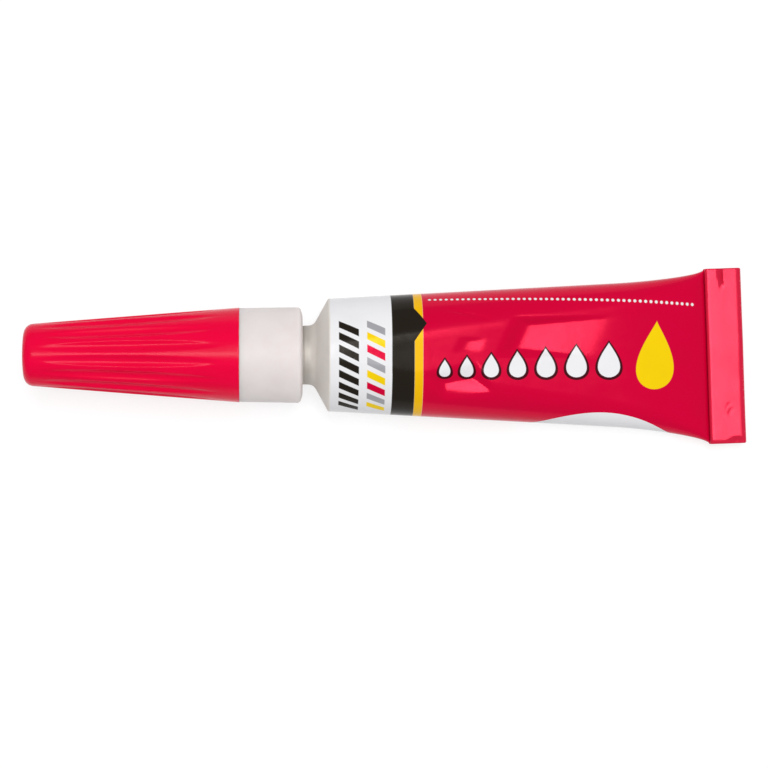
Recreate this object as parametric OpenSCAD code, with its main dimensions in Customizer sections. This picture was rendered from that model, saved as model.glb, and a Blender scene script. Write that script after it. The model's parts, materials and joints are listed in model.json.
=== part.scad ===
// Collapsible aluminium glue tube with a screw-on nozzle and a fluted cap.
//
// Every piece is drawn in the tube's own frame. There x runs along the axis, from
// the cap at negative x to the folded tail at positive x, and is zero at the rim
// of the shoulder. The printed front faces +z. The whole tube is then laid on its
// flat belly, which tips the cap up a little.

/* [Tube wall] */
// Outside diameter of the tube at its shoulder
tube_d = 12.7; // [11:0.1:16]
// Thickness of the aluminium wall
wall = 0.12; // [0.1:0.01:0.2]
// Length of the wall from the rim to the fold
body_len = 42.3; // [34:0.1:60]
// Share of the thickness that is lost evenly between the rim and the fold
taper_share = 0.66; // [0.5:0.01:0.75]
// Share of the length after which the two faces close on each other
closing_share = 0.75; // [0.6:0.01:0.85]

/* [Shoulder and neck] */
// Length of the shoulder along the axis, from the rim to the neck
shoulder_len = 2; // [1.6:0.1:4]
// Thickness of the metal in the shoulder
shoulder_t = 0.45; // [0.35:0.05:0.6]
// Outside diameter of the neck
neck_d = 6.6; // [6:0.1:7.4]
// Thickness of the metal round the neck's bore
neck_wall = 1; // [0.6:0.05:1.4]
// Length of the neck from the shoulder to its mouth
neck_len = 6.2; // [5:0.1:9]
// Radius of the blend between the shoulder and the neck
neck_blend_r = 1; // [0.4:0.1:1.2]
// Thickness of the membrane that closes the mouth
membrane_t = 0.1; // [0.08:0.01:0.2]

/* [Folded tail] */
// Width of the folded strip along the axis
fold_w = 4.1; // [2.8:0.1:6]
// Thickness of the sealing compound between the two walls
seal_t = 0.06; // [0.04:0.01:0.1]
// Air left between neighbouring layers of the fold
fold_gap = 0.06; // [0.04:0.01:0.15]
// How far the fold is out of square with the axis, in degrees
fold_skew = 2; // [0:0.5:4]

/* [Nozzle] */
// Thickness of the collar round the neck, which also sets the width of the cap's open end
collar_wall = 1.7; // [1.6:0.05:2.2]
// Length of the collar along its outside
collar_len = 6.7; // [6:0.1:9]
// How far the collar still has to be screwed down to land on the shoulder
screw_gap = 1.85; // [0.8:0.05:2]
// Step from the collar in to the plug that carries the cap
plug_step = 1.15; // [0.95:0.05:1.25]
// Length of the plug that carries the cap
plug_len = 4.5; // [3.5:0.1:6]
// Diameter of the spout where it leaves the plug
spout_d = 5.6; // [4.4:0.1:6]
// Diameter of the spout at its tip
spout_tip_d = 2.2; // [1.8:0.1:2.6]
// Diameter of the channel through the spout
channel_d = 1.4; // [1.2:0.1:1.5]
// Diameter of the outlet at the tip
outlet_d = 1; // [0.9:0.05:1.1]

/* [Cap] */
// Length of the cap
cap_len = 24.1; // [18:0.1:34]
// Diameter of the cap at its closed end
cap_tip_d = 7; // [6.6:0.1:8.5]
// Thickness of the cap's wall
cap_wall = 1.1; // [0.9:0.05:1.3]
// Number of grip flutes round the cap
flutes = 16; // [12:1:18]
// Turn of the first flute from the printed front, in degrees
flute_turn = 10; // [0:1:30]
// Depth of a flute at its middle
flute_depth = 0.3; // [0.1:0.02:0.4]
// Radius of the round cutter that makes a flute
flute_r = 0.85; // [0.6:0.05:1]

/* [Glue] */
// Height of the glue's surface above the table
glue_level = 3.85; // [2.5:0.05:5]

/* [Hidden] */

// Facets of round pieces, of blends and of the flattening wall
round_fn = 96;
blend_steps = 6;
wall_sides = 64;
closing_steps = 10;
bend_steps = 10;

// A cut runs past the surface that it opens by this much
overrun = 1;

// Rim: a short cylinder at the edge of the shoulder, which the wall is drawn from
rim_len = 0.35;
rim_lap = 0.25;
rim_step = 0.02;
rim_r = tube_d / 2;
body_d = tube_d - 2 * rim_step;

// Neck and shoulder
neck_r = neck_d / 2;
neck_bore_r = neck_r - neck_wall;
neck_edge = 0.2;
shoulder_angle = atan2(rim_r - neck_r, shoulder_len - rim_len);
shoulder_slope = (shoulder_len - rim_len) / (rim_r - neck_r);
neck_mouth_x = -shoulder_len - neck_len;
function shoulder_x(r) = -rim_len - (rim_r - r) * shoulder_slope;

// Fold: the flattened tail is rolled over twice, so three double layers lie in the strip
layer_t = 2 * wall + seal_t;
layer_pitch = layer_t + fold_gap;
tail_lap = 0.4;
tail_step = 0.03;
flat_h = layer_t - 2 * tail_step;
flat_w = width(flat_h) + 2 * tail_step;
outer_bend_r = layer_pitch;
inner_bend_r = layer_pitch / 2;
fold_left_x = body_len + inner_bend_r + layer_t / 2;
fold_right_x = body_len + fold_w - outer_bend_r - layer_t / 2;
fold_end_x = fold_right_x - fold_gap;
seal_start_x = body_len + 2 * tail_lap;

// Nozzle, from the shoulder towards the spout
socket_gap = 0.3;
socket_r = neck_r + socket_gap;
collar_r = socket_r + collar_wall;
collar_edge_r = 0.5;
collar_bevel_share = 0.29;
land_w = 0.85;
relief_r = collar_r - land_w;
relief_len = 1.5;
land_x = shoulder_x(relief_r) - screw_gap;
collar_back_x = land_x - (collar_r - relief_r) * collar_bevel_share;
collar_front_x = collar_back_x - collar_len;
spike_gap = 0.3;
spike_base_r = 1.7;
spike_tip_r = 0.95;
spike_x = neck_mouth_x - membrane_t - spike_gap;
socket_end_x = spike_x - screw_gap;
plug_r = collar_r - plug_step;
plug_edge = 0.3;
plug_end_x = collar_front_x - plug_len;

// Cap
cap_reveal = 0.1;
cap_fit = 0.12;
cap_base_x = collar_front_x - cap_reveal;
cap_tip_x = cap_base_x - cap_len;
cap_base_r = collar_r;
cap_tip_r = cap_tip_d / 2;
cap_dome = 0.25;
cap_edge_r = 1.1;
cap_base_edge = 0.15;
cap_bore_r = plug_r + cap_fit;
cap_bore_spare = 0.4;
cap_bore_end_x = plug_end_x - cap_bore_spare;
cap_end_t = 1.2;
cap_inside_x = cap_tip_x + cap_end_t;
cap_side_x = cap_tip_x + cap_dome + cap_edge_r;
cap_slope = (cap_base_r - cap_tip_r) / (cap_base_x - cap_side_x);
function cap_side_r(x) = cap_tip_r + (x - cap_side_x) * cap_slope;

// Spout, which ends short of the cap's closed end, and the cap's pin that stops its outlet
spout_room = 1.9;
spout_r = spout_d / 2;
spout_root_len = 0.8;
spout_tip_r = spout_tip_d / 2;
spout_tip_x = cap_inside_x + spout_room;
spout_edge_r = 0.25;
channel_r = channel_d / 2;
outlet_r = outlet_d / 2;
outlet_len = 2;
pin_fit = 0.1;
pin_r = outlet_r - pin_fit;
pin_in = 0.9;
pin_edge = 0.15;

// Flutes: a bent round cutter dips into the side and comes out at both ends
flute_tip_gap = 1.9;
flute_base_gap = 2.2;
flute_len = cap_len - flute_tip_gap - flute_base_gap;
flute_mid_x = (cap_tip_x + flute_tip_gap + cap_base_x - flute_base_gap) / 2;
flute_bend_r = pow(flute_len, 2) / (8 * flute_depth) + flute_depth / 2;
flute_sweep = 2 * asin((flute_len / 2 + overrun) / flute_bend_r);
flute_fn = 900;
cutter_fn = 32;

// The belly is flat up to where the wall closes, and the tube lies on it
glue_clear = 0.05;
belly_share = cos(180 / wall_sides);
belly_r = body_d / 2 * belly_share;
tilt = atan(taper_share * (body_d - flat_h) / 2 * belly_share / body_len);
belly_z = belly_r * cos(tilt);
tip_reach = cap_tip_x * cos(tilt) - (cap_tip_r - cap_edge_r) * sin(tilt);
tail_reach = (body_len + fold_w) * cos(tilt) + flat_w / 2 * sin(fold_skew);
middle_x = (tip_reach + tail_reach) / 2;

// Points of an arc in a profile
function arc(centre, r, from, to) =
    [for (i = [0:blend_steps])
        let (a = from + (to - from) * i / blend_steps)
            centre + r * [cos(a), sin(a)]];

// How far the two faces have closed on the fold, from 0 to 1
function closed(s) = max(0, (s - closing_share) / (1 - closing_share));

// Thickness of the flattened tube at share s of its length
function thickness(s) =
    flat_h + (body_d - flat_h) * (1 - taper_share * s) * sqrt(1 - pow(closed(s), 2));

// Width that leaves the girth as it was when the tube is h thick
function width(h) = PI / 2 * body_d - h * (PI / 2 - 1);

// One ring of the wall: two half circles joined by flat faces, drawn in by inset.
// Its centre is at x, and skew leans it out of square with the axis.
function ring(x, h, skew, inset) =
    [for (k = [0:wall_sides - 1])
        let (a = (k + 0.5) * 360 / wall_sides,
             r = h / 2 - inset,
             y = sign(cos(a)) * (width(h) - h) / 2 + r * cos(a))
            [x + y * skew, y, r * sin(a)]];

function ring_at(s, inset) =
    ring(s * body_len, thickness(s), -tan(fold_skew) * pow(closed(s), 2), inset);

// Places of the rings along the wall, closer together where it closes
stations = concat(
    [0, closing_share],
    [for (i = [1:closing_steps])
        closing_share + (1 - closing_share) * sin(90 * i / closing_steps)]);

// The hollow ends at the last ring before the fold, where the two walls meet
hollow_stations = [for (i = [0:len(stations) - 2]) stations[i]];

// A closed solid through a list of rings
module loft(rings) {
    last = len(rings) - 1;
    sides = [for (i = [0:last - 1], k = [0:wall_sides - 1])
        let (a = i * wall_sides + k,
             b = i * wall_sides + (k + 1) % wall_sides,
             c = a + wall_sides,
             d = b + wall_sides)
            each [[a, d, b], [a, c, d]]];
    first_face = [for (k = [0:wall_sides - 1]) k];
    last_face = [for (k = [0:wall_sides - 1]) (last + 1) * wall_sides - 1 - k];
    polyhedron(
        points = [for (r = rings) each r],
        faces = concat(sides, [first_face, last_face]));
}

// A profile of [radius, x] points turned about the axis
module turned(profile)
    rotate([0, 90, 0]) rotate_extrude($fn = round_fn) polygon(profile);

// From the tube's own frame to the table: belly down, middle over the origin
module laid() translate([-middle_x, 0, belly_z]) rotate([0, tilt, 0]) children();

// Shoulder and neck as one turned piece, with the rim that the wall is drawn from
module shoulder_and_neck() {
    blend = neck_blend_r * tan(shoulder_angle / 2);
    bore_x = shoulder_x(neck_bore_r) + shoulder_t / sin(shoulder_angle);
    inside_r = rim_r - shoulder_t;
    turned(concat(
        [[inside_r, 0], [rim_r, 0], [rim_r, -rim_len]],
        [for (i = [blend_steps:-1:0])
            let (a = shoulder_angle * i / blend_steps)
                [neck_r + neck_blend_r * (1 - cos(a)),
                 -shoulder_len - blend + neck_blend_r * sin(a)]],
        [[neck_r, neck_mouth_x + neck_edge],
         [neck_r - neck_edge, neck_mouth_x],
         [neck_bore_r, neck_mouth_x],
         [neck_bore_r, bore_x],
         [inside_r, shoulder_x(inside_r) + rim_len]]));
}

// The thin wall, from inside the rim to inside the folded tail
module body_wall() {
    skew = -tan(fold_skew);
    difference() {
        loft(concat(
            [ring(-rim_lap, body_d, 0, rim_step)],
            [for (s = stations) ring_at(s, 0)],
            [ring(body_len + tail_lap, flat_h, skew, 0)]));
        loft(concat(
            [ring(-rim_lap - overrun, body_d, 0, wall)],
            [for (s = hollow_stations) ring_at(s, wall)]));
    }
}

// Middle line of the rolled tail as [x, z, heading], from start_x on
function fold_line(start_x) = concat(
    [[start_x, 0, 0]],
    [for (i = [0:bend_steps])
        let (a = 180 * i / bend_steps)
            [fold_right_x + outer_bend_r * sin(a), outer_bend_r * (1 - cos(a)), a]],
    [for (i = [0:bend_steps])
        let (a = 180 * i / bend_steps)
            [fold_left_x - inner_bend_r * sin(a),
             2 * layer_pitch - inner_bend_r * (1 - cos(a)), 180 + a]],
    [[fold_end_x, layer_pitch, 360]]);

// A band of thickness t and width w rolled along that line
module rolled_band(start_x, t, w) {
    line = fold_line(start_x);
    side = [for (p = line) [-sin(p[2]), cos(p[2])] * t / 2];
    upper = [for (i = [0:len(line) - 1]) [line[i][0], line[i][1]] + side[i]];
    lower = [for (i = [len(line) - 1:-1:0]) [line[i][0], line[i][1]] - side[i]];
    translate([body_len, 0, 0])
        rotate([90, 0, fold_skew])
            translate([-body_len, 0, 0])
                linear_extrude(height = w, center = true)
                    polygon(concat(upper, lower));
}

module fold_seal() rolled_band(seal_start_x, seal_t, flat_w - 2 * wall);

module tube() color("crimson") laid() union() {
    shoulder_and_neck();
    body_wall();
    difference() {
        rolled_band(body_len, layer_t, flat_w);
        fold_seal();
    }
}

module end_seal() color("tan") laid() fold_seal();

module membrane() color("silver") laid()
    turned([
        [0, neck_mouth_x - membrane_t],
        [neck_r - neck_edge, neck_mouth_x - membrane_t],
        [neck_r - neck_edge, neck_mouth_x],
        [0, neck_mouth_x]]);

// The glue lies level in the tube, with air above it
module glue() color("lightyellow") intersection() {
    laid() loft([for (s = hollow_stations) ring_at(s, wall + glue_clear)]);
    translate([-body_len - cap_len, -tube_d, -overrun])
        cube([2 * (body_len + cap_len), 2 * tube_d, glue_level + overrun]);
}

module nozzle() color("white") laid()
    turned(concat(
        // outside, from the landing edge to the tip
        [[relief_r, land_x]],
        arc([collar_r - collar_edge_r, collar_back_x - collar_edge_r], collar_edge_r, 75, 0),
        [[collar_r, collar_front_x],
         [plug_r, collar_front_x],
         [plug_r, plug_end_x + plug_edge],
         [plug_r - plug_edge, plug_end_x],
         [spout_r, plug_end_x - spout_root_len]],
        arc([spout_tip_r - spout_edge_r, spout_tip_x + spout_edge_r], spout_edge_r, 0, -90),
        // outlet and channel, back to the spike and the socket
        [[outlet_r, spout_tip_x],
         [outlet_r, spout_tip_x + outlet_len],
         [channel_r, spout_tip_x + outlet_len + channel_r],
         [channel_r, spike_x],
         [spike_tip_r, spike_x],
         [spike_base_r, socket_end_x],
         [socket_r, socket_end_x],
         [socket_r, land_x - relief_len]]));

// One bent cutter, over the middle of a flute on the +z side
module flute_cutter()
    translate([flute_mid_x, 0, cap_side_r(flute_mid_x)])
        rotate([90, -atan(cap_slope), 0])
            translate([0, flute_bend_r - flute_depth, 0])
                rotate([0, 0, -90 - flute_sweep / 2])
                    rotate_extrude(angle = flute_sweep, $fn = flute_fn)
                        translate([flute_bend_r - flute_r, 0])
                            circle(r = flute_r, $fn = cutter_fn);

module cap() color("crimson") laid() {
    pin_x = spout_tip_x + pin_in;
    inside_tip_r = cap_tip_r - cap_wall;
    dome_r = cap_tip_r - cap_edge_r;
    difference() {
        turned(concat(
            // outside, from the middle of the domed end to the open end
            [for (i = [0:blend_steps])
                let (r = dome_r * i / blend_steps)
                    [r, cap_tip_x + cap_dome * pow(r / dome_r, 2)]],
            arc([dome_r, cap_side_x], cap_edge_r, -75, 0),
            [[cap_base_r - cap_base_edge * cap_slope, cap_base_x - cap_base_edge],
             [cap_base_r - cap_base_edge, cap_base_x],
             // inside, from the bore to the pin that stops the outlet
             [cap_bore_r, cap_base_x],
             [cap_bore_r, cap_bore_end_x],
             [cap_side_r(cap_bore_end_x) - cap_wall, cap_bore_end_x],
             [inside_tip_r, cap_inside_x],
             [2 * pin_r, cap_inside_x],
             [pin_r, spout_tip_x - pin_r],
             [pin_r, pin_x - pin_edge],
             [pin_r - pin_edge, pin_x],
             [0, pin_x]]));
        for (k = [0:flutes - 1])
            rotate([flute_turn + k * 360 / flutes, 0, 0]) flute_cutter();
    }
}

tube();
end_seal();
membrane();
glue();
nozzle();
cap();
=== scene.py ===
"""Looks of a collapsible glue tube with a screw-on nozzle and a fluted cap.

Shapes are drawn in the tube's own frame, in millimetres. There x runs along the axis, from
the cap at negative x to the folded tail, and is zero at the rim of the shoulder. The printed
front faces +z. LAY then takes each mesh to the table, in metres.
"""

import json
import math
from collections import namedtuple

import bmesh
import bpy
import numpy as np
from mathutils import Euler, Matrix, Vector

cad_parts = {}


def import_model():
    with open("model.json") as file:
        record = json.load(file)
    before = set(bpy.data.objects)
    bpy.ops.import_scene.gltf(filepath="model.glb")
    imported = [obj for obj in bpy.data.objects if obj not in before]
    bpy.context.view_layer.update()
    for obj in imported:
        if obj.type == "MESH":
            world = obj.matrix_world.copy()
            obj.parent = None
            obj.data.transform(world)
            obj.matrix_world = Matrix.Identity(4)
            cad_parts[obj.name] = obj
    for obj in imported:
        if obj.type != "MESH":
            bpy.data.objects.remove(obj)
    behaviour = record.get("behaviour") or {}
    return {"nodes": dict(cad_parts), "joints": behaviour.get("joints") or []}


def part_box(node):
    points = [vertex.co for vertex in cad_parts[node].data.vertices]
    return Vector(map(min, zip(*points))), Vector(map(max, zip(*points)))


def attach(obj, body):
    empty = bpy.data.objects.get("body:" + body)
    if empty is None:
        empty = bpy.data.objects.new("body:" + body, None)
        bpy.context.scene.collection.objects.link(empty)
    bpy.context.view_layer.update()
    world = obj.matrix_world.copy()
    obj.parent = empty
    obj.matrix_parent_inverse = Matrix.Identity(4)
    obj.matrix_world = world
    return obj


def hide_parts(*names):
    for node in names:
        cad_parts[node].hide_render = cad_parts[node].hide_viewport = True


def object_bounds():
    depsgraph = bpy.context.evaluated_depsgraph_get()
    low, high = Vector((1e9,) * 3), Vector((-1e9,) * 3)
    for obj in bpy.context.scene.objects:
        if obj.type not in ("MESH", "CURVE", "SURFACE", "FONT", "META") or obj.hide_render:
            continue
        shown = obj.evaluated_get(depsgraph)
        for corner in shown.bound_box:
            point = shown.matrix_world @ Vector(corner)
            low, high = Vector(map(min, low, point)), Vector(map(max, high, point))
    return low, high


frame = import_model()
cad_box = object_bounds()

MM = 0.001

# Tube wall: its girth stays the same while it flattens towards the tail
BODY_D = 12.66
BODY_LEN = 42.3
TAPER_SHARE = 0.66
CLOSING_SHARE = 0.75
GIRTH = math.pi * BODY_D
WALL_START_X = -0.23

# Rolled tail: three double layers in a strip
LAYER_T = 0.3
LAYER_GAP = 0.06
LAYER_PITCH = LAYER_T + LAYER_GAP
SEAL_T = 0.06
SEAL_WIDTH_SHARE = 0.99
SEAL_START = 0.8
FOLD_W = 4.1
FOLD_SKEW = math.radians(2)
OUTER_BEND_R = LAYER_PITCH
INNER_BEND_R = LAYER_PITCH / 2
FOLD_LEFT_X = BODY_LEN + INNER_BEND_R + LAYER_T / 2
FOLD_RIGHT_X = BODY_LEN + FOLD_W - OUTER_BEND_R - LAYER_T / 2
FOLD_END_X = FOLD_RIGHT_X - LAYER_GAP

# Shoulder and neck
RIM_R = 6.32
RIM_LEN = 0.35
SHOULDER_LEN = 2
SHOULDER_T = 0.45
NECK_R = 3.3
NECK_BORE_R = 2.3
NECK_MOUTH_X = -8.2
MEMBRANE_T = 0.1
SHOULDER_SLOPE = (SHOULDER_LEN - RIM_LEN) / (RIM_R - NECK_R)

# Nozzle
SOCKET_R = 3.6
COLLAR_R = 5.3
COLLAR_DRAFT = 0.06
COLLAR_LEN = 6.7
COLLAR_LIP = 0.25
RELIEF_R = 4.45
RELIEF_LEN = 1.5
SCREW_GAP = 1.85
LAND_X = -RIM_LEN - (RIM_R - RELIEF_R) * SHOULDER_SLOPE - SCREW_GAP
COLLAR_BACK_X = LAND_X - COLLAR_LIP
COLLAR_FRONT_X = COLLAR_BACK_X - COLLAR_LEN
SPIKE_GAP = 0.3
SPIKE_X = NECK_MOUTH_X - MEMBRANE_T - SPIKE_GAP
SPIKE_BASE_R = 1.7
SPIKE_TIP_R = 0.95
SOCKET_END_X = SPIKE_X - SCREW_GAP
PLUG_R = 4.15
PLUG_LEN = 4.5
PLUG_END_X = COLLAR_FRONT_X - PLUG_LEN
PLUG_TAPER_LEN = 0.8

# Cap
CAP_REVEAL = 0.1
CAP_LEN = 24.1
CAP_BASE_X = COLLAR_FRONT_X - CAP_REVEAL
CAP_TIP_X = CAP_BASE_X - CAP_LEN
CAP_BASE_R = COLLAR_R
CAP_TIP_R = 3.5
CAP_DOME = 0.25
CAP_DOME_MID_R = 1.7
CAP_DOME_MID_DROP = 0.06
CAP_DOME_BEND_R = 8
CAP_EDGE_R = 1.1
CAP_WALL = 1.1
CAP_END_WALL = 1.2
CAP_BORE_R = 4.27
CAP_BORE_GAP = 0.4
CAP_BORE_END_X = PLUG_END_X - CAP_BORE_GAP
CAP_INSIDE_X = CAP_TIP_X + CAP_END_WALL
CAP_SIDE_X = CAP_TIP_X + CAP_DOME + CAP_EDGE_R
CAP_SLOPE = (CAP_BASE_R - CAP_TIP_R) / (CAP_BASE_X - CAP_SIDE_X)

# Spout, which ends short of the cap's closed end, and the cap's pin that stops its outlet
SPOUT_R = 2.8
SPOUT_TIP_R = 1.1
SPOUT_TIP_GAP = 1.9
SPOUT_TIP_X = CAP_INSIDE_X + SPOUT_TIP_GAP
CHANNEL_R = 0.7
OUTLET_R = 0.5
OUTLET_LEN = 2
PIN_R = 0.4
PIN_ROOT_R = 0.8
PIN_REACH = 0.9
PIN_END_X = SPOUT_TIP_X + PIN_REACH

# Grip flutes, cut by a round cutter that dips into the cap's side
FLUTES = 16
FLUTE_TURN = math.radians(10)
FLUTE_DEPTH = 0.3
FLUTE_R = 0.85
FLUTE_TIP_GAP = 1.9
FLUTE_BASE_GAP = 2.2
FLUTE_LEN = CAP_BASE_X - CAP_TIP_X - FLUTE_TIP_GAP - FLUTE_BASE_GAP
FLUTE_MID_X = (CAP_TIP_X + FLUTE_TIP_GAP + CAP_BASE_X - FLUTE_BASE_GAP) / 2
FLUTE_BEND_R = FLUTE_LEN ** 2 / (8 * FLUTE_DEPTH) + FLUTE_DEPTH / 2
FLUTE_EDGE = 0.03

# Threads, right-handed, and the plain lengths that they leave
THREAD_PITCH = 1.1
THREAD_FLANK = 0.9
THREAD_RUN_OUT = 0.7
THREAD_DEPTH = 0.2
NECK_MOUTH_PLAIN = 0.2
NECK_FOOT_PLAIN = 0.9
NOZZLE_PLAIN = 0.4
CAP_PLAIN = 0.3

# From the tube's own frame to the table: the nozzle slides along the axis, and the
# membrane's middle lies on it
cap_direction = Vector(frame["joints"][0]["axis"])
TILT = math.atan2(cap_direction.z, -cap_direction.x)
membrane_low, membrane_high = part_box("membrane")
LAY = (
    Matrix.Translation((membrane_low + membrane_high) / 2)
    @ Matrix.Rotation(TILT, 4, "Y")
    @ Matrix.Scale(MM, 4)
    @ Matrix.Translation((MEMBRANE_T / 2 - NECK_MOUTH_X, 0, 0))
)


# Meshes

# A corner of a turned profile: its place, the radius of its edge and the rows to the next corner
Corner = namedtuple("Corner", "x r edge rows", defaults=(0, 1))

SHARP_ANGLE = math.radians(35)
WELD_DISTANCE = 1e-5


def skin(name, rings, closed_rows=False, places=None):
    """A smooth mesh through rings of points, each closed round, with its ends closed or joined.

    places gives each point's (u, v) on the print, with the first column repeated at the end.
    """
    rows, columns = rings.shape[:2]
    last = rows if closed_rows else rows - 1
    faces = []
    corners = []
    for i in range(last):
        n = (i + 1) % rows
        for k in range(columns):
            m = (k + 1) % columns
            faces.append((i * columns + k, i * columns + m, n * columns + m, n * columns + k))
            corners.append(((i, k), (i, k + 1), (n, k + 1), (n, k)))
    mesh = bpy.data.meshes.new(name)
    mesh.from_pydata(rings.reshape(-1, 3).tolist(), [], faces)
    if places is not None:
        index = np.array(corners).reshape(-1, 2)
        layer = mesh.uv_layers.new(name="print")
        layer.data.foreach_set("uv", places[index[:, 0], index[:, 1]].astype(np.float32).ravel())
    finish_mesh(mesh)
    piece = bpy.data.objects.new(name, mesh)
    bpy.context.scene.collection.objects.link(piece)
    return piece


def finish_mesh(mesh):
    """Closes the ends, turns the faces outwards, lays the mesh on the table and smooths it."""
    work = bmesh.new()
    work.from_mesh(mesh)
    bmesh.ops.remove_doubles(work, verts=work.verts, dist=WELD_DISTANCE)
    bmesh.ops.holes_fill(work, edges=[e for e in work.edges if e.is_boundary])
    bmesh.ops.recalc_face_normals(work, faces=work.faces)
    work.to_mesh(mesh)
    work.free()
    mesh.transform(LAY)
    mesh.shade_smooth()
    mesh.set_sharp_from_angle(angle=SHARP_ANGLE)


def corner_arc(before, corner, after, radius, steps=6):
    """Points of the arc that rounds a corner between two straight lines."""
    to_before = (before - corner).normalized()
    to_after = (after - corner).normalized()
    half = math.acos(max(-1, min(1, to_before.dot(to_after)))) / 2
    centre = corner + (to_before + to_after).normalized() * radius / math.sin(half)
    first = corner + to_before * radius / math.tan(half) - centre
    last = corner + to_after * radius / math.tan(half) - centre
    sweep = math.pi - 2 * half
    return [
        centre + (first * math.sin((1 - t) * sweep) + last * math.sin(t * sweep)) / math.sin(sweep)
        for t in np.linspace(0, 1, steps + 1)
    ]


def rounded(corners, closed):
    """Points of a profile through its corners, with rounded edges."""
    places = [Vector((corner.x, corner.r)) for corner in corners]
    count = len(corners)
    arcs = []
    for i, corner in enumerate(corners):
        if corner.edge == 0:
            arcs.append([places[i]])
        else:
            arcs.append(corner_arc(places[i - 1], places[i], places[(i + 1) % count], corner.edge))
    points = []
    for i, corner in enumerate(corners):
        points.extend(arcs[i])
        if i == count - 1 and not closed:
            break
        start = arcs[i][-1]
        end = arcs[(i + 1) % count][0]
        points.extend(start.lerp(end, k / corner.rows) for k in range(1, corner.rows))
    return np.array([tuple(point) for point in points])


def turned(name, corners, columns, relief, closed=True):
    """A profile turned about the axis. relief(x, r, turn) is how far it is cut in there."""
    profile = rounded(corners, closed)
    turn = np.linspace(0, 2 * np.pi, columns, endpoint=False)[None, :]
    x = profile[:, 0, None] + 0 * turn
    r = profile[:, 1, None] + 0 * turn
    r = r - relief(x, r, turn)
    return skin(name, np.stack([x, r * np.cos(turn), r * np.sin(turn)], axis=-1), closed)


def smooth_step(value, start, end):
    """Rises smoothly from 0 at the start to 1 at the end."""
    t = np.clip((value - start) / (end - start), 0, 1)
    return t * t * (3 - 2 * t)


def thread(x, turn, start, end):
    """Depth of a right-handed thread's groove between two places on the axis, which runs out there."""
    phase = x / THREAD_PITCH - turn / (2 * np.pi)
    groove = np.clip(0.5 + THREAD_FLANK * np.cos(2 * np.pi * phase), 0, 1)
    run_in = smooth_step(x, start, start + THREAD_RUN_OUT)
    run_out = smooth_step(-x, -end, THREAD_RUN_OUT - end)
    return THREAD_DEPTH * groove * run_in * run_out


# Tube wall, from the rim to the end of its rolled tail

def thickness(s):
    """Thickness of the flattened tube at share s of its length, and how far its faces have closed."""
    closed = np.maximum(0, (s - CLOSING_SHARE) / (1 - CLOSING_SHARE))
    return LAYER_T + (BODY_D - LAYER_T) * (1 - TAPER_SHARE * s) * np.sqrt(1 - closed ** 2), closed


# Rows of the wall's mesh along the body, along each layer of the roll and round each of its bends
EVEN_ROWS = 110
CLOSING_ROWS = 45
LOWEST_ROWS = 14
TOP_ROWS = 16
MIDDLE_ROWS = 12
BEND_ROWS = 15


def body_sections():
    """Rows of (x, z, heading, thickness, closing) along the body."""
    even = np.linspace(0, CLOSING_SHARE, EVEN_ROWS)
    turn = np.linspace(0, np.pi / 2, CLOSING_ROWS)[1:]
    s = np.concatenate([even, CLOSING_SHARE + (1 - CLOSING_SHARE) * np.sin(turn)])
    h, closed = thickness(s)
    rows = np.stack([s * BODY_LEN, 0 * s, 0 * s, h, closed], axis=1)
    over_rim = [[WALL_START_X, 0, 0, BODY_D, 0]]
    return np.concatenate([over_rim, rows])


def fold_sections(start):
    """Rows of (x, z, heading, thickness, closing) along the rolled tail, from start past the body."""
    lowest = np.linspace(BODY_LEN + start, FOLD_RIGHT_X, LOWEST_ROWS)[:-1]
    turn = np.linspace(0, np.pi, BEND_ROWS)
    top = np.linspace(FOLD_RIGHT_X, FOLD_LEFT_X, TOP_ROWS)[1:-1]
    middle = np.linspace(FOLD_LEFT_X, FOLD_END_X, MIDDLE_ROWS)[1:]
    x = np.concatenate([
        lowest,
        FOLD_RIGHT_X + OUTER_BEND_R * np.sin(turn),
        top,
        FOLD_LEFT_X - INNER_BEND_R * np.sin(turn),
        middle,
    ])
    z = np.concatenate([
        0 * lowest,
        OUTER_BEND_R * (1 - np.cos(turn)),
        0 * top + 2 * LAYER_PITCH,
        2 * LAYER_PITCH - INNER_BEND_R * (1 - np.cos(turn)),
        0 * middle + LAYER_PITCH,
    ])
    heading = np.concatenate([0 * lowest, turn, 0 * top + np.pi, np.pi + turn, 0 * middle + 2 * np.pi])
    return np.stack([x, z, heading, 0 * x + LAYER_T, 0 * x + 1], axis=1)


def girth_places(per_quarter=64, crowding=1.5):
    """Places round the girth from the front's middle, closer together at the two side edges."""
    quarter = GIRTH / 4
    share = np.arange(per_quarter) / per_quarter
    rising = quarter * (1 - (1 - share) ** crowding)
    half = np.concatenate([rising, [quarter], 2 * quarter - rising[::-1]])
    return np.concatenate([-half[:0:-1], half[:-1]])


def ring_shape(v, h):
    """Places (y, n) and outward directions of a flattened ring of thickness h at girth places v."""
    flat = math.pi / 2 * (BODY_D - h) / 2
    r = h / 2
    side = np.sign(v)
    bend = np.clip((np.abs(v) - flat) / r, 0, np.pi)
    back = np.maximum(0, np.abs(v) - flat - np.pi * r)
    y = side * (np.minimum(np.abs(v), flat) + r * np.sin(bend) - back)
    n = r * np.cos(bend)
    return y, n, side * np.sin(bend), np.cos(bend)


# A flat-sided dent: where it is deepest, its turn in degrees, its reach back, ahead, below and above,
# and its depth
Facet = namedtuple("Facet", "along across turn back ahead below above depth")

# A soft dent: its middle, its half sizes, its turn in degrees and its depth
Dent = namedtuple("Dent", "along across half_length half_width turn depth")

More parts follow.
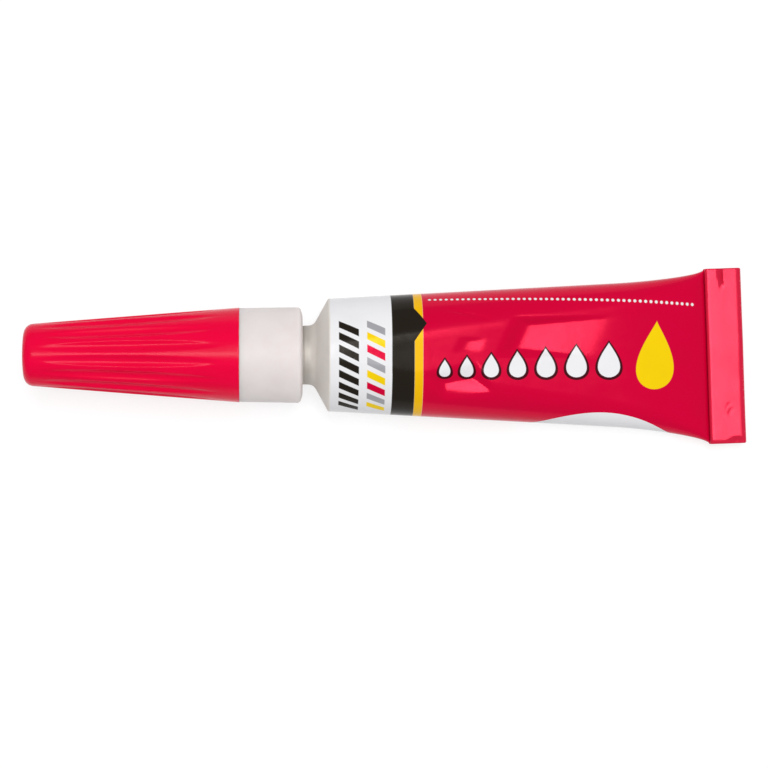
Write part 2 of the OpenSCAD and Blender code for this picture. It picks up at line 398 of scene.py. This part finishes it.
# Dents of the front, by place along the wall and round its girth
FACETS = [
    Facet(20.8, 2.1, turn=0, back=1.6, ahead=9.4, below=2.4, above=2.2, depth=0.68),
    Facet(13.9, -2.9, turn=-54, back=1.7, ahead=2.3, below=2.6, above=2.6, depth=0.8),
    Facet(14.6, 1.1, turn=0, back=0.9, ahead=2.2, below=0.9, above=0.8, depth=0.14),
]
FACET_LEAN = 0.45
FACET_STEEPNESS = 2.5
CREASE_R = 0.25
CREASE_SHARE = 0.1
FRONT_DENTS = [
    Dent(14.8, 4.7, half_length=3.2, half_width=0.35, turn=-16, depth=0.13),
    Dent(31.1, -5.2, half_length=5.5, half_width=2.4, turn=8, depth=0.1),
]

# Rolled strip: its dents, by x and y, its place, its slope, its bent lower end and its waves
STRIP_DENTS = [
    Dent(44.1, 9.1, half_length=0.25, half_width=1.7, turn=3, depth=0.25),
    Dent(44.7, -6.2, half_length=0.14, half_width=0.55, turn=-22, depth=0.06),
    Dent(44.5, -5.5, half_length=0.12, half_width=0.4, turn=-30, depth=0.05),
    Dent(45.2, -9.6, half_length=1, half_width=0.6, turn=10, depth=0.25),
]
STRIP_SHIFT = -0.15
STRIP_RISE = 0.02
STRIP_BEND_Y = -9.3
STRIP_BEND = 0.3
WAVE_HEIGHT = 0.05
WAVE_REACH = 2.3
WAVE_START = 0.8
RIPPLE_HEIGHT = 0.01
RIPPLE_REACH = 0.9


def beside(dent, along, across):
    """Places ahead of a dent's middle and to its side, by the dent's own turned axes."""
    a = math.radians(dent.turn)
    ahead = (along - dent.along) * math.cos(a) + (across - dent.across) * math.sin(a)
    sideways = (across - dent.across) * math.cos(a) - (along - dent.along) * math.sin(a)
    return ahead, sideways


def two_slopes(x, before, after):
    """Share of the reach to either side of zero, with a soft bend between."""
    slant = (1 / after - 1 / before) / 2
    rise = (1 / after + 1 / before) / 2
    return slant * x + rise * np.hypot(x, CREASE_R)


def soft_least(a, b):
    """The lesser of two numbers, with a soft bend where they cross."""
    return (a + b - np.hypot(a - b, CREASE_SHARE)) / 2


def faceted(along, across):
    """Depth of the flat-sided dents of the front."""
    depth = 0 * along
    for facet in FACETS:
        ahead, sideways = beside(facet, along, across)
        ends = 1 - two_slopes(ahead - FACET_LEAN * sideways, facet.back, facet.ahead)
        flanks = FACET_STEEPNESS * (1 - two_slopes(sideways, facet.below, facet.above))
        depth = depth - facet.depth * soft_least(0, -soft_least(ends, flanks))
    return depth


def dented(along, across, dents):
    """Depth of a set of soft dents."""
    depth = 0 * along
    for dent in dents:
        ahead, sideways = beside(dent, along, across)
        p = ahead / dent.half_length
        q = sideways / dent.half_width
        depth = depth + dent.depth * np.maximum(0, 1 - p ** 2 - q ** 2) ** 2
    return depth


def strip_height(x, y):
    """How far the rolled strip stands off its flat plane."""
    slope = STRIP_RISE * (x - BODY_LEN)
    waves = WAVE_HEIGHT * np.sin(y / WAVE_REACH + WAVE_START) + RIPPLE_HEIGHT * np.sin(y / RIPPLE_REACH)
    bent = STRIP_BEND * np.maximum(0, STRIP_BEND_Y - y) ** 2
    return slope + waves - bent - dented(x, y, STRIP_DENTS)


def rolled_skin(name, sections, thickness_share=1, width_share=1):
    """A skin through flattened rings along the given sections, thinned and narrowed by shares."""
    v = girth_places()
    step = np.hypot(np.diff(sections[:, 0]), np.diff(sections[:, 1]))
    u = sections[0, 0] + np.concatenate([[0], np.cumsum(step)])
    rings = []
    for (x, z, heading, h, closed), along in zip(sections, u):
        y, n, out_y, out_n = ring_shape(v, h)
        depth = (dented(along + 0 * v, v, FRONT_DENTS) + faceted(along + 0 * v, v)) * (1 - closed)
        y = (y - depth * out_y) * width_share
        n = (n - depth * out_n) * thickness_share
        lean = closed ** 2
        rings.append(np.stack([
            x - n * math.sin(heading) - lean * math.tan(FOLD_SKEW) * y,
            y + lean * (math.sin(FOLD_SKEW) * max(0, x - BODY_LEN) + STRIP_SHIFT),
            z + n * math.cos(heading) + lean * strip_height(x, y),
        ], axis=1))
    round_girth = np.append(v, GIRTH / 2)
    places = np.stack(np.broadcast_arrays(u[:, None], round_girth[None, :]), axis=-1)
    return skin(name, np.array(rings), places=places)


def tube_wall():
    """Printed wall, from the rim to the end of the roll, in one skin."""
    return rolled_skin("tube_wall", np.concatenate([body_sections(), fold_sections(0)[1:]]))


def end_seal():
    """Band of sealing compound, rolled up between the layers of the tail."""
    return rolled_skin("end_seal_band", fold_sections(SEAL_START), SEAL_T / LAYER_T, SEAL_WIDTH_SHARE)


# Turned pieces, with the columns of their meshes round the axis
PLAIN_COLUMNS = 160
FLUTE_COLUMNS = 18


def tube_shoulder():
    """Shoulder, neck and rim of the tube, turned from bare metal, with the neck's thread."""
    inside_r = RIM_R - SHOULDER_T
    bore_x = -SHOULDER_LEN - (NECK_R - NECK_BORE_R) * SHOULDER_SLOPE
    bore_x += SHOULDER_T * math.hypot(1, SHOULDER_SLOPE)
    thread_start = NECK_MOUTH_X + NECK_MOUTH_PLAIN
    thread_end = -SHOULDER_LEN - NECK_FOOT_PLAIN

    def neck_thread(x, r, turn):
        return np.isclose(r, NECK_R) * thread(x, turn, thread_start, thread_end)

    corners = [
        Corner(0, inside_r),
        Corner(0, RIM_R, edge=0.04),
        Corner(-RIM_LEN, RIM_R, edge=0.15, rows=6),
        Corner(-SHOULDER_LEN, NECK_R, edge=1, rows=56),
        Corner(NECK_MOUTH_X, NECK_R, edge=0.2, rows=2),
        Corner(NECK_MOUTH_X, NECK_BORE_R, edge=0.1, rows=4),
        Corner(bore_x, NECK_BORE_R, edge=0.3, rows=2),
        Corner(-SHOULDER_T * SHOULDER_SLOPE, inside_r, edge=0.2),
    ]
    return turned("tube_shoulder", corners, PLAIN_COLUMNS, neck_thread)


def nozzle():
    """Collar, plug, spout and spike in one moulding, with threads for the neck and the cap."""
    channel_x = SPOUT_TIP_X + OUTLET_LEN + CHANNEL_R
    socket_x = LAND_X - RELIEF_LEN

    def threads(x, r, turn):
        plug = np.isclose(r, PLUG_R) * thread(x, turn, PLUG_END_X + NOZZLE_PLAIN, COLLAR_FRONT_X)
        socket = np.isclose(r, SOCKET_R) * thread(x, turn, SOCKET_END_X + NOZZLE_PLAIN, socket_x)
        return plug - socket

    corners = [
        Corner(LAND_X, RELIEF_R, edge=0.08, rows=2),
        Corner(COLLAR_BACK_X, COLLAR_R + COLLAR_DRAFT, edge=0.5, rows=12),
        Corner(CAP_BASE_X, COLLAR_R - COLLAR_DRAFT, edge=0.04, rows=3),
        Corner(CAP_BASE_X, PLUG_R, edge=0.1, rows=44),
        Corner(PLUG_END_X, PLUG_R, edge=0.25, rows=2),
        Corner(PLUG_END_X - PLUG_TAPER_LEN, SPOUT_R, edge=0.6, rows=24),
        Corner(SPOUT_TIP_X, SPOUT_TIP_R, edge=0.25),
        Corner(SPOUT_TIP_X, OUTLET_R, edge=0.1, rows=3),
        Corner(SPOUT_TIP_X + OUTLET_LEN, OUTLET_R, rows=2),
        Corner(channel_x, CHANNEL_R, rows=10),
        Corner(SPIKE_X, CHANNEL_R, edge=0.05),
        Corner(SPIKE_X, SPIKE_TIP_R, edge=0.05, rows=3),
        Corner(SOCKET_END_X, SPIKE_BASE_R, edge=0.15, rows=2),
        Corner(SOCKET_END_X, SOCKET_R, edge=0.2, rows=56),
        Corner(socket_x, SOCKET_R, rows=3),
    ]
    return turned("nozzle_moulding", corners, PLAIN_COLUMNS, threads)


def cap_side_r(x):
    """Radius of the cap's tapered side."""
    return CAP_TIP_R + (x - CAP_SIDE_X) * CAP_SLOPE


def flutes(x, turn):
    """Depth of the grip flutes below the cap's side."""
    pitch = 2 * np.pi / FLUTES
    side_r = cap_side_r(x)
    from_front = turn - np.pi / 2 - FLUTE_TURN
    across = ((from_front + pitch / 2) % pitch - pitch / 2) * side_r
    along = (x - FLUTE_MID_X) * math.hypot(1, CAP_SLOPE)
    cutter_rise = FLUTE_R - np.sqrt(np.maximum(0, FLUTE_R ** 2 - across ** 2))
    depth = FLUTE_DEPTH - along ** 2 / (2 * FLUTE_BEND_R) - cutter_rise - across ** 2 / (2 * side_r)
    return (depth + np.sqrt(depth ** 2 + FLUTE_EDGE ** 2)) / 2


def cap():
    """Fluted cap with a threaded bore and the pin that stops the outlet."""
    edge_x = CAP_TIP_X + CAP_DOME

    def flutes_and_thread(x, r, turn):
        side = np.isclose(r, cap_side_r(x)) * flutes(x, turn)
        bore = np.isclose(r, CAP_BORE_R) * thread(x, turn, CAP_BORE_END_X + CAP_PLAIN, CAP_BASE_X)
        return side - bore

    corners = [
        Corner(CAP_TIP_X, 0, rows=5),
        Corner(CAP_TIP_X + CAP_DOME_MID_DROP, CAP_DOME_MID_R, edge=CAP_DOME_BEND_R, rows=3),
        Corner(edge_x, cap_side_r(edge_x), edge=CAP_EDGE_R, rows=110),
        Corner(CAP_BASE_X, CAP_BASE_R, edge=0.03, rows=2),
        Corner(CAP_BASE_X, CAP_BORE_R, edge=0.12, rows=44),
        Corner(CAP_BORE_END_X, CAP_BORE_R, edge=0.1, rows=2),
        Corner(CAP_BORE_END_X, cap_side_r(CAP_BORE_END_X) - CAP_WALL, edge=0.15, rows=12),
        Corner(CAP_INSIDE_X, CAP_TIP_R - CAP_WALL, edge=0.4, rows=3),
        Corner(CAP_INSIDE_X, PIN_ROOT_R, edge=0.15, rows=2),
        Corner(SPOUT_TIP_X - PIN_R, PIN_R, edge=0.2, rows=2),
        Corner(PIN_END_X, PIN_R, edge=0.15),
        Corner(PIN_END_X, 0),
    ]
    return turned("cap_moulding", corners, FLUTES * FLUTE_COLUMNS, flutes_and_thread, closed=False)


# Materials

class Field:
    """A number that varies over a surface. Arithmetic on it adds nodes to its material."""

    def __init__(self, shader, socket):
        self.shader = shader
        self.socket = socket

    def __add__(self, other):
        return self.shader.math("ADD", self, other)

    def __sub__(self, other):
        return self.shader.math("SUBTRACT", self, other)

    def __rsub__(self, other):
        return self.shader.math("SUBTRACT", other, self)

    def __mul__(self, other):
        return self.shader.math("MULTIPLY", self, other)

    def __truediv__(self, other):
        return self.shader.math("DIVIDE", self, other)

    def __pow__(self, other):
        return self.shader.math("POWER", self, other)

    def __mod__(self, other):
        return self.shader.math("FLOORED_MODULO", self, other)

    def __abs__(self):
        return self.shader.math("ABSOLUTE", self)

    def least(self, other):
        return self.shader.math("MINIMUM", self, other)

    def most(self, other):
        return self.shader.math("MAXIMUM", self, other)

    def share(self):
        """The same number, held between 0 and 1."""
        return self.least(1).most(0)


class Shader:
    """A material under construction."""

    def __init__(self, name):
        self.material = bpy.data.materials.new(name)
        self.material.use_nodes = True
        self.nodes = self.material.node_tree.nodes
        self.links = self.material.node_tree.links
        self.surface = self.nodes["Principled BSDF"]

    def give(self, socket, value):
        """Sets a socket, or links it to a field or another socket."""
        if isinstance(value, Field):
            self.links.new(value.socket, socket)
        elif isinstance(value, bpy.types.NodeSocket):
            self.links.new(value, socket)
        else:
            socket.default_value = value

    def math(self, operation, *values):
        """A field worked out from numbers and other fields."""
        node = self.nodes.new("ShaderNodeMath")
        node.operation = operation
        for socket, value in zip(node.inputs, values):
            self.give(socket, value)
        return Field(self, node.outputs[0])

    def print_place(self):
        """Place along the wall and round its girth, in millimetres."""
        layer = self.nodes.new("ShaderNodeUVMap")
        layer.uv_map = "print"
        parts = self.nodes.new("ShaderNodeSeparateXYZ")
        self.links.new(layer.outputs["UV"], parts.inputs[0])
        return Field(self, parts.outputs["X"]), Field(self, parts.outputs["Y"])

    def tube_place(self):
        """Place in the tube's own frame, in millimetres."""
        coordinates = self.nodes.new("ShaderNodeTexCoord")
        mapping = self.nodes.new("ShaderNodeMapping")
        location, turn, scale = LAY.inverted().decompose()
        mapping.inputs["Location"].default_value = location
        mapping.inputs["Rotation"].default_value = turn.to_euler()
        mapping.inputs["Scale"].default_value = scale
        self.links.new(coordinates.outputs["Object"], mapping.inputs["Vector"])
        return mapping.outputs["Vector"]

    def along_axis(self):
        """Place along the tube's axis, in millimetres."""
        parts = self.nodes.new("ShaderNodeSeparateXYZ")
        self.links.new(self.tube_place(), parts.inputs[0])
        return Field(self, parts.outputs["X"])

    def noise(self, size, stretch=(1, 1, 1), detail=3):
        """Noise with features of about that size in millimetres, stretched along the tube's axes."""
        scaled = self.nodes.new("ShaderNodeMapping")
        scaled.inputs["Scale"].default_value = [1 / (size * s) for s in stretch]
        noise = self.nodes.new("ShaderNodeTexNoise")
        noise.inputs["Scale"].default_value = 1
        noise.inputs["Detail"].default_value = detail
        self.links.new(self.tube_place(), scaled.inputs["Vector"])
        self.links.new(scaled.outputs["Vector"], noise.inputs["Vector"])
        return Field(self, noise.outputs[0])

    def mix(self, share, below, above):
        """The colour above laid over the one below by a share from 0 to 1."""
        node = self.nodes.new("ShaderNodeMix")
        node.data_type = "RGBA"
        self.give(node.inputs["Factor"], share)
        self.give(node.inputs["A"], below)
        self.give(node.inputs["B"], above)
        return node.outputs["Result"]

    def green(self, colour):
        """The green of a colour, as a field."""
        node = self.nodes.new("ShaderNodeSeparateColor")
        self.links.new(colour, node.inputs[0])
        return Field(self, node.outputs["Green"])

    def bump(self, height, depth):
        """A surface whose highest points stand depth millimetres above its lowest."""
        node = self.nodes.new("ShaderNodeBump")
        node.inputs["Strength"].default_value = 1
        node.inputs["Distance"].default_value = depth * MM
        self.give(node.inputs["Height"], height)
        self.give(self.surface.inputs["Normal"], node.outputs["Normal"])

    def set(self, **values):
        """Sets inputs of the surface, named in words joined by underscores."""
        for name, value in values.items():
            self.give(self.surface.inputs[name.replace("_", " ")], value)


# Print, in millimetres along the wall (u) and round its girth from the middle of the front (v)
PRINT_EDGE = 0.07
RED = (0.65, 0.0, 0.039, 1)
WHITE = (0.79, 0.79, 0.81, 1)
BLACK = (0.017, 0.013, 0.009, 1)
YELLOW = (0.87, 0.6, 0.003, 1)
AMBER = (0.87, 0.48, 0.003, 1)
GREY = (0.35, 0.35, 0.37, 1)
DARK_RED = (0.06, 0.003, 0.008, 1)
# Worn bare metal, also laid over the rolled strip as a painted highlight
WORN_METAL_AND_HIGHLIGHT = (0.75, 0.72, 0.7, 1)

# Bands across the tube, and the pointer of the black one
WHITE_END = 6.58
BLACK_END = 9.06
AMBER_END = 10
POINTER_TIP = 10.44
POINTER_V = 3.5
POINTER_HALF = 2

# Large drop and oval panel
DROP_U = 35.95
DROP_BOTTOM = -3.8
DROP_HEIGHT = 7.7
DROP_WIDTH = 4.4
DROP_LEAN = 0.05
DROP_ROUND = 0.5
DROP_POINT = 1.15
PANEL_U = 30.1
PANEL_V = -12.55
PANEL_HALF_LENGTH = 8.9
PANEL_HALF_WIDTH = 6

# Row of small drops that grow towards the tail
SMALL_DROPS = 7
SMALL_DROP_U = 12.4
SMALL_DROP_PITCH = 2.35
SMALL_DROP_SPREAD = 0.12
SMALL_DROP_BOTTOM = -2.5
SMALL_DROP_HEIGHT = 2
SMALL_DROP_GROWTH = 0.32
SMALL_DROP_WIDTH_SHARE = 0.66
SMALL_DROP_SHADE = 0.3

# Dotted line
DOT_LINE_V = 7
DOT_LINE_FALL = 0.04
DOT_PITCH = 0.62
DOT_R = 0.17
FIRST_DOT = 17
LAST_DOT = 66

# Slanted bars: where the black ones and the bright ones start and end along the wall
BLACK_BARS = (0.7, 2.9)
BRIGHT_BARS = (3.8, 5.8)
BRIGHT_COLOURS = (RED, YELLOW, GREY)
BAR_PITCH = 1.4
BAR_SHARE = 0.6
BAR_SLANT = 0.35
FIRST_BAR = -5
LAST_BAR = 3

# Specks of wear along the outer edge of the roll, and a painted highlight that makes the print past it
# paler
OUTER_FOLD_U = 46.5
WEAR_HALF = 0.3
WEAR_START = 0.62
WEAR_CONTRAST = 2
WEAR_SHARE = 0.2
STRIP_HIGHLIGHT_SHARE = 0.02

# Faint dark blotches
BLOTCH_START = 0.45
BLOTCH_CONTRAST = 0.5
BLOTCH_BLACK = 0.25


def inside(field):
    """1 where a field is above zero and 0 where it is below, with a soft edge."""
    return (field / PRINT_EDGE + 0.5).share()


def between(field, low, high):
    """1 where a field lies between two values, with soft edges."""
    return inside((field - low).least(high - field))


def drop(u, v, middle, bottom, height, width, margin=0):
    """A hanging drop with its point up, widened all round by a margin."""
    rise = ((v - (bottom - margin)) / (height + 2 * margin)).share()
    widest = (DROP_ROUND / (DROP_ROUND + DROP_POINT)) ** DROP_ROUND
    widest *= (DROP_POINT / (DROP_ROUND + DROP_POINT)) ** DROP_POINT
    half = rise ** DROP_ROUND * (1 - rise) ** DROP_POINT * ((width / 2 + margin) / widest)
    return inside(half - abs(u - middle) - PRINT_EDGE / 2)


def bars(u, v, low, high):
    """Slanted bars across a band of the white print, on the front, and the number of each."""
    number = v / BAR_PITCH + (u - low) * BAR_SLANT
    bar = inside(BAR_SHARE / 2 * BAR_PITCH - abs(number % 1 - 0.5) * BAR_PITCH)
    return bar.least(between(u, low, high)).least(between(number, FIRST_BAR, LAST_BAR)), number


def print_bands(shader, u, v):
    """Red ground and the white, black and amber bands, with the black one's pointer."""
    colour = shader.mix(inside(u - AMBER_END), WHITE, RED)
    colour = shader.mix(between(u, BLACK_END, AMBER_END), colour, AMBER)
    colour = shader.mix(between(u, WHITE_END, BLACK_END), colour, BLACK)
    reach = (POINTER_TIP - u) * (POINTER_HALF / (POINTER_TIP - BLACK_END))
    pointer = inside((reach - abs(v - POINTER_V)).least(u - WHITE_END))
    return shader.mix(pointer, colour, BLACK)


def print_panel(shader, u, v, colour):
    """White oval panel that goes round one side."""
    panel = 1 - ((u - PANEL_U) / PANEL_HALF_LENGTH) ** 2 - ((v - PANEL_V) / PANEL_HALF_WIDTH) ** 2
    return shader.mix(inside(panel * PANEL_HALF_WIDTH), colour, WHITE)


def print_drops(shader, u, v, colour):
    """Large yellow drop, and the row of small white ones with dark edges."""
    upright_u = u - (v - DROP_BOTTOM) * DROP_LEAN
    large = drop(upright_u, v, DROP_U, DROP_BOTTOM, DROP_HEIGHT, DROP_WIDTH)
    colour = shader.mix(large, colour, YELLOW)
    for k in range(SMALL_DROPS):
        middle = SMALL_DROP_U + SMALL_DROP_PITCH * k + SMALL_DROP_SPREAD * k ** 2
        height = SMALL_DROP_HEIGHT + SMALL_DROP_GROWTH * k
        small = u, v, middle, SMALL_DROP_BOTTOM, height, SMALL_DROP_WIDTH_SHARE * height
        colour = shader.mix(drop(*small, margin=SMALL_DROP_SHADE), colour, DARK_RED)
        colour = shader.mix(drop(*small), colour, WHITE)
    return colour


def print_dots(shader, u, v, colour):
    """Dotted white line along the upper edge of the front."""
    along = abs(u % DOT_PITCH - DOT_PITCH / 2)
    across = v - DOT_LINE_V + (u - AMBER_END) * DOT_LINE_FALL
    dots = inside(DOT_R - (along ** 2 + across ** 2) ** 0.5)
    dots = dots.least(between(u, FIRST_DOT * DOT_PITCH, LAST_DOT * DOT_PITCH))
    return shader.mix(dots, colour, WHITE)


def print_bars(shader, u, v, colour):
    """Black bars, and bars in the bright colours by turns."""
    black_bars, _ = bars(u, v, *BLACK_BARS)
    colour = shader.mix(black_bars, colour, BLACK)
    bright_bars, number = bars(u, v, *BRIGHT_BARS)
    which = shader.math("FLOOR", number) % len(BRIGHT_COLOURS)
    bright = BRIGHT_COLOURS[0]
    for k in range(1, len(BRIGHT_COLOURS)):
        bright = shader.mix(inside(which - (k - 0.5)), bright, BRIGHT_COLOURS[k])
    return shader.mix(bright_bars, colour, bright)


def print_colour(shader, u, v):
    """Colours of the whole print."""
    colour = print_bands(shader, u, v)
    colour = print_panel(shader, u, v, colour)
    colour = print_drops(shader, u, v, colour)
    colour = print_dots(shader, u, v, colour)
    return print_bars(shader, u, v, colour)


def printed_aluminium():
    """Glossy print on soft metal, which shines through the red lacquer but not the pale inks."""
    shader = Shader("printed_aluminium")
    u, v = shader.print_place()
    colour = print_colour(shader, u, v)
    blotches = shader.noise(3, detail=4)
    speckle = shader.noise(0.25)
    worn = inside((speckle - WEAR_START) * WEAR_CONTRAST)
    edge = inside(WEAR_HALF - abs(u - OUTER_FOLD_U))
    colour = shader.mix(worn.least(edge) * WEAR_SHARE, colour, WORN_METAL_AND_HIGHLIGHT)
    # Painted highlight: the print on the rolled strip past the outer edge of the roll is made a little
    # paler, standing in for the lamp's reflection there
    colour = shader.mix(inside(u - OUTER_FOLD_U) * STRIP_HIGHLIGHT_SHARE, colour, WORN_METAL_AND_HIGHLIGHT)
    dark = shader.mix(BLOTCH_BLACK, colour, BLACK)
    marks = shader.noise(0.5, stretch=(6, 1, 1), detail=5)
    shader.set(
        Base_Color=shader.mix((blotches - BLOTCH_START).share() * BLOTCH_CONTRAST, colour, dark),
        Metallic=(1 - shader.green(colour) / WHITE[1]).share() * 0.12,
        Roughness=(blotches - 0.5) * 0.12 + marks * 0.06 + 0.15,
        Specular_IOR_Level=0.08,
    )
    shader.bump(blotches + marks * 0.1, 0.02)
    return shader.material


# The shoulder's coat starts at the foot of the neck
COAT_FOOT = 0.6
COAT_FADE = 0.8


def bare_aluminium():
    """Satin metal with the fine rings of its turning, under a pale coat on the shoulder."""
    shader = Shader("bare_aluminium")
    rings = shader.noise(0.12, stretch=(1, 60, 60), detail=2)
    cloud = shader.noise(1.5, detail=4)
    coat = ((shader.along_axis() + (SHOULDER_LEN + COAT_FOOT)) / COAT_FADE).share()
    metal = shader.mix(cloud, (0.46, 0.43, 0.39, 1), (0.55, 0.52, 0.48, 1))
    pale = shader.mix(cloud, (0.71, 0.66, 0.61, 1), (0.78, 0.74, 0.7, 1))
    shader.set(
        Base_Color=shader.mix(coat, metal, pale),
        Metallic=(1 - coat) * 0.35 + 0.1,
        Roughness=cloud * 0.2 + rings * 0.15 + 0.45,
    )
    shader.bump(rings, 0.012)
    return shader.material


def white_plastic():
    """Milky moulded plastic, a little uneven."""
    shader = Shader("white_plastic")
    cloud = shader.noise(2.5, detail=4)
    grain = shader.noise(0.15, detail=2)
    shader.set(
        Base_Color=shader.mix(cloud, (0.71, 0.65, 0.64, 1), (0.79, 0.74, 0.73, 1)),
        Roughness=cloud * 0.12 + grain * 0.08 + 0.4,
        Subsurface_Weight=0.7,
        Subsurface_Radius=(1, 0.9, 0.85),
        Subsurface_Scale=1.6 * MM,
        Specular_IOR_Level=0.28,
    )
    shader.bump(grain, 0.006)
    return shader.material


def red_plastic():
    """Glossy moulded plastic with faint flow marks and fine scuffs."""
    shader = Shader("red_plastic")
    flow = shader.noise(1.6, stretch=(5, 1, 1), detail=3)
    scuffs = shader.noise(0.3, stretch=(3, 1, 1), detail=5)
    shader.set(
        Base_Color=shader.mix(flow, (0.72, 0.0, 0.034, 1), (0.85, 0.0, 0.05, 1)),
        Roughness=flow * 0.06 + scuffs * 0.06 + 0.13,
        Specular_IOR_Level=0.09,
    )
    shader.bump(flow + scuffs * 0.2, 0.003)
    return shader.material


def liquid_glue():
    """Clear liquid with a faint straw tint."""
    shader = Shader("liquid_glue")
    cloud = shader.noise(4)
    shader.set(
        Base_Color=shader.mix(cloud, (0.95, 0.93, 0.82, 1), (0.98, 0.97, 0.9, 1)),
        Roughness=cloud * 0.04,
        Transmission_Weight=1.0,
        IOR=1.45,
    )
    return shader.material


def sealing_compound():
    """Matt latex band, dried a little unevenly."""
    shader = Shader("sealing_compound")
    cloud = shader.noise(0.6, detail=4)
    shader.set(
        Base_Color=shader.mix(cloud, (0.6, 0.48, 0.32, 1), (0.76, 0.64, 0.46, 1)),
        Roughness=cloud * 0.2 + 0.6,
    )
    shader.bump(cloud, 0.01)
    return shader.material


# Floor, light and camera
FLOOR_GAP = 0.01
FLOOR_HALF = 1500
FLOOR_SEGMENTS = 8
FLOOR_GLOW = 0.73
LAMP_DISTANCE = 1500
WATTS_PER_RADIANCE = 4
WORLD_LEVEL = 0.4
CAMERA_DISTANCE = 300
CAMERA_LEAN = math.radians(2.87)
CAMERA_NEAREST = 10
SENSOR_WIDTH = 36
VIEW_CENTRE = (-0.12, -3.24, 6.3)
VIEW_WIDTH = 85.9


def floor():
    """A wide pale floor, just below the tube."""
    mesh = bpy.data.meshes.new("floor")
    work = bmesh.new()
    bmesh.ops.create_grid(
        work, x_segments=FLOOR_SEGMENTS, y_segments=FLOOR_SEGMENTS, size=FLOOR_HALF * MM)
    work.to_mesh(mesh)
    work.free()
    mesh.materials.append(floor_paint())
    piece = bpy.data.objects.new("floor", mesh)
    piece.location.z = cad_box[0].z - FLOOR_GAP * MM
    bpy.context.scene.collection.objects.link(piece)


def seen_ray(shader):
    """1 for rays from the camera, or through gloss or glass."""
    path = shader.nodes.new("ShaderNodeLightPath")
    seen = Field(shader, path.outputs["Is Camera Ray"])
    seen = seen.most(Field(shader, path.outputs["Is Glossy Ray"]))
    return seen.most(Field(shader, path.outputs["Is Transmission Ray"]))


def floor_paint():
    """Matt white that looks white to the camera and keeps the tube's shadow."""
    shader = Shader("floor_paint")
    seen = seen_ray(shader)
    shader.set(
        Base_Color=shader.mix(seen, (0.85, 0.85, 0.85, 1), (0.3, 0.3, 0.3, 1)),
        Roughness=1.0,
        Specular_IOR_Level=0.0,
        Emission_Color=(1, 1, 1, 1),
        Emission_Strength=seen * FLOOR_GLOW,
    )
    return shader.material


def world():
    """Even white light all round, as in a light tent."""
    made = bpy.data.worlds.new("light_tent")
    made.use_nodes = True
    background = made.node_tree.nodes["Background"]
    background.inputs["Color"].default_value = (1, 1, 1, 1)
    background.inputs["Strength"].default_value = WORLD_LEVEL
    bpy.context.scene.world = made


def softbox(name, lean_x, lean_y, size_x, size_y, radiance):
    """A lamp that faces the tube from a direction given by two leans off the vertical, in degrees."""
    lamp = bpy.data.lights.new(name, "AREA")
    lamp.shape = "RECTANGLE"
    lamp.size = size_x * MM
    lamp.size_y = size_y * MM
    lamp.energy = WATTS_PER_RADIANCE * lamp.size * lamp.size_y * radiance
    turn = Euler((math.radians(-lean_y), math.radians(lean_x), 0))
    piece = bpy.data.objects.new(name, lamp)
    piece.rotation_euler = turn
    piece.location = turn.to_matrix() @ Vector((0, 0, LAMP_DISTANCE * MM))
    bpy.context.scene.collection.objects.link(piece)


def camera():
    """Looks down on the printed front, from where the axis is nearly square to the view."""
    lens = bpy.data.cameras.new("camera")
    lens.sensor_width = SENSOR_WIDTH
    lens.lens = SENSOR_WIDTH * CAMERA_DISTANCE / VIEW_WIDTH
    lens.clip_start = CAMERA_NEAREST * MM
    piece = bpy.data.objects.new("camera", lens)
    towards = Vector((math.sin(CAMERA_LEAN), 0, math.cos(CAMERA_LEAN)))
    piece.location = (Vector(VIEW_CENTRE) + towards * CAMERA_DISTANCE) * MM
    piece.rotation_euler = (0, CAMERA_LEAN, 0)
    bpy.context.scene.collection.objects.link(piece)
    bpy.context.scene.camera = piece


# Assembly

def place(piece, material, body, slot, *nodes):
    """Gives a new piece its material and its body, and hides the nodes it stands for; slot is not used.
    """
    piece.data.materials.append(material)
    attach(piece, body)
    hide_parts(*nodes)


def paint_node(node, material):
    """Gives a solid that is shown as it is a better material."""
    mesh = frame["nodes"][node].data
    mesh.materials.clear()
    mesh.materials.append(material)


bare = bare_aluminium()
place(tube_wall(), printed_aluminium(), "tube", "printed_aluminium", "tube")
place(tube_shoulder(), bare, "tube", "bare_aluminium", "tube")
place(end_seal(), sealing_compound(), "tube", "sealing_compound", "end_seal")
place(nozzle(), white_plastic(), "nozzle", "white_plastic", "nozzle")
place(cap(), red_plastic(), "cap", "red_plastic", "cap")
paint_node("membrane", bare)
paint_node("glue", liquid_glue())

floor()
world()
softbox("overhead", lean_x=7.5, lean_y=8, size_x=480, size_y=750, radiance=10)
softbox("over_cap", lean_x=-8, lean_y=2, size_x=300, size_y=220, radiance=9)
camera()
bpy.context.scene.view_settings.view_transform = "Standard"
